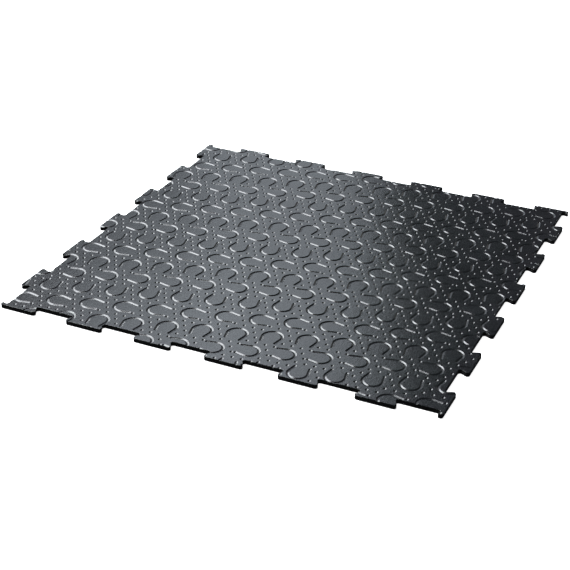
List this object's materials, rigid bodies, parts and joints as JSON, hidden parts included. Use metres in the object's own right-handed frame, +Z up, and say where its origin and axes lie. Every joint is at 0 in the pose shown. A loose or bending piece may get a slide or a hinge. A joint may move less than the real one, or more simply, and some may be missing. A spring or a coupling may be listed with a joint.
{
  "type": "anti fatigue mat",
  "caption": "Square interlocking rubber floor tile with dovetail tabs on all sides and a tread of sunken horseshoes and round dimples, for standing on.",
  "frame": {"origin": "middle of the underside, at the centre of the one-metre module", "axes": "+X and +Y along the sides, +Z up from the floor to the tread"},
  "size_m": [1.0232, 1.0232, 0.01],
  "materials": {
    "wear_rubber": "satin, moulded tread",
    "backing_rubber": "matt"
  },
  "bodies": {
    "root": {"wear_layer": "wear_rubber", "backing_layer": "backing_rubber"}
  },
  "joints": []
}
